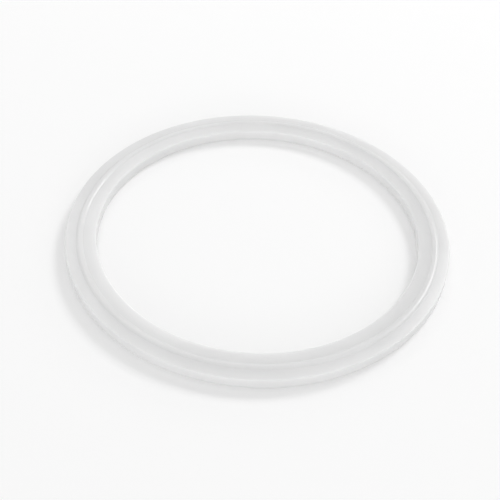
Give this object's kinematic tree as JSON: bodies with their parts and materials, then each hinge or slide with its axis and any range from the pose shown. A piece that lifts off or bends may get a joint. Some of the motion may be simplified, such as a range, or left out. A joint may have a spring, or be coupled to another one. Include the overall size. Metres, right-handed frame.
{
  "type": "sanitary clamp gasket",
  "caption": "Round one-piece silicone ring with a raised sealing bead on both faces, for the joint between two clamp ferrules.",
  "frame": {"origin": "on the ring's axis, half way up its thickness", "axes": "+Z along the ring's axis; the section is the same on both faces, so either face may be up"},
  "size_m": [0.119, 0.119, 0.0048],
  "materials": {
    "silicone": "translucent milky silicone, satin"
  },
  "bodies": {
    "root": {"gasket_ring": "silicone"}
  },
  "joints": []
}
